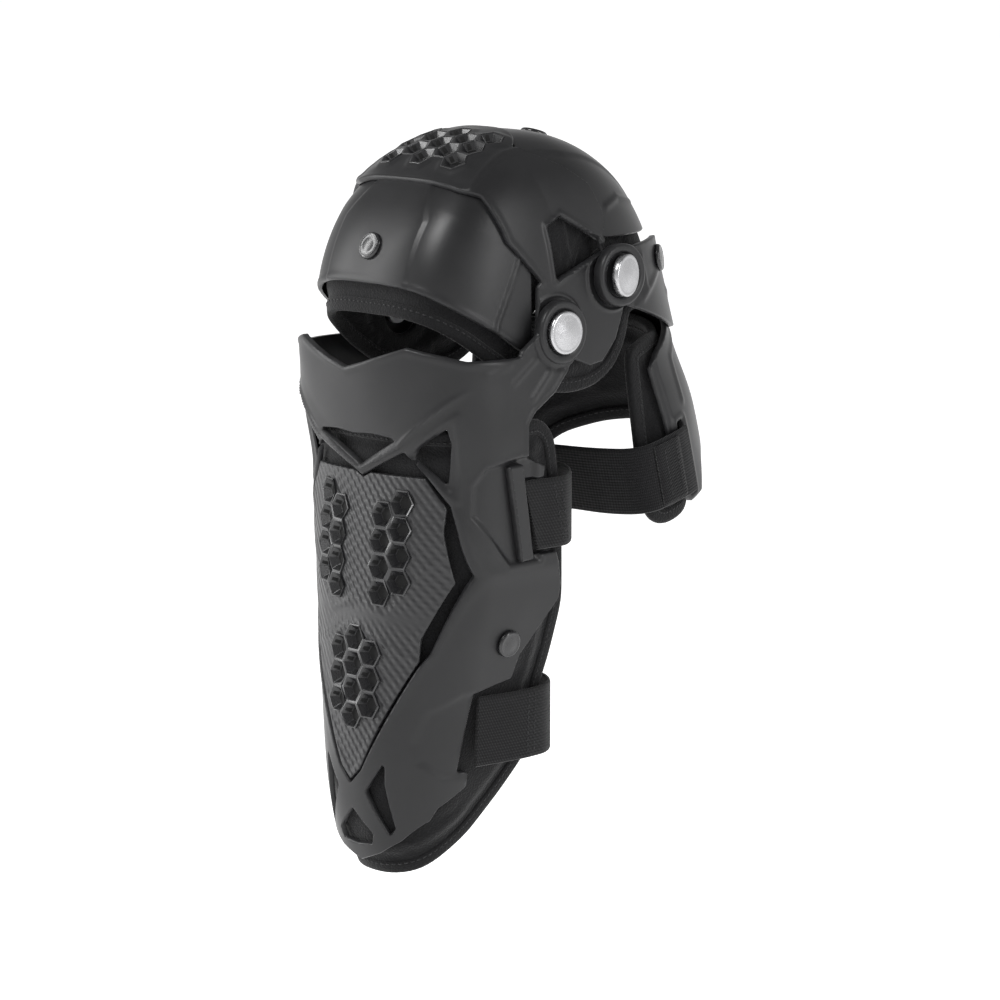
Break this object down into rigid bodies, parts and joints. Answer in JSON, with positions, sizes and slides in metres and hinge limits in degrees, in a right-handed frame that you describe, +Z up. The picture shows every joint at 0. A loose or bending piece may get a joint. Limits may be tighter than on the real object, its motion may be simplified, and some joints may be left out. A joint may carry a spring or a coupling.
{
  "type": "hinged knee guard",
  "caption": "Double-hinged motorcycle knee and shin guard, folded at the knee, with overlapping knee plates, padded liners and elastic straps.",
  "frame": {"origin": "midway between the two lower hinges, on the hinge axis", "axes": "+X across the leg, -Y the front of the shin, +Z up the shin towards the knee"},
  "size_m": [0.1602, 0.235, 0.398],
  "materials": {
    "charcoal_plastic": "satin moulded",
    "charcoal_trim": "satin moulded",
    "twill_panel": "satin twill pattern",
    "knit_liner": "knitted, bound edge",
    "strap_webbing": "brushed elastic webbing",
    "brushed_cap": "polished",
    "gloss_cap": "gloss",
    "washer": "plain",
    "screw": "plain"
  },
  "bodies": {
    "shin_guard": {"calf_strap_bar_left": "charcoal_trim", "calf_strap_bar_right": "charcoal_trim", "lower_calf_strap": "strap_webbing", "lower_hinge_cap_left": "brushed_cap", "lower_hinge_cap_right": "brushed_cap", "lower_hinge_screw_left": "screw", "lower_hinge_screw_right": "screw", "lower_hinge_washer_left": "washer", "lower_hinge_washer_right": "washer", "shin_centre_panel": "twill_panel", "shin_pad": "knit_liner", "shin_shell": "charcoal_plastic", "shin_snap_left": "gloss_cap", "shin_snap_right": "gloss_cap", "upper_calf_strap": "strap_webbing"},
    "knee_cup": {"knee_centre_plate": "charcoal_plastic", "knee_front_plate": "charcoal_plastic", "knee_pad": "knit_liner", "knee_rear_plate": "charcoal_plastic", "knee_snap_front": "gloss_cap", "knee_snap_rear": "gloss_cap"},
    "thigh_cuff": {"thigh_frame": "charcoal_plastic", "thigh_pad": "knit_liner", "thigh_plate": "charcoal_plastic", "thigh_snap_left": "gloss_cap", "thigh_snap_right": "gloss_cap", "thigh_strap": "strap_webbing", "thigh_strap_end_left": "strap_webbing", "thigh_strap_end_right": "strap_webbing", "upper_hinge_cap_left": "brushed_cap", "upper_hinge_cap_right": "brushed_cap", "upper_hinge_screw_left": "screw", "upper_hinge_screw_right": "screw", "upper_hinge_washer_left": "washer", "upper_hinge_washer_right": "washer"}
  },
  "joints": [
    {"name": "shin_to_knee", "type": "hinge", "parent": "shin_guard", "child": "knee_cup", "pos_m": [0, 0, 0], "axis": [1, 0, 0], "range_deg": [0, 45]},
    {"name": "knee_to_thigh", "type": "hinge", "parent": "knee_cup", "child": "thigh_cuff", "pos_m": [0, 0.0437, 0.027], "axis": [1, 0, 0], "range_deg": [0, 60]}
  ]
}
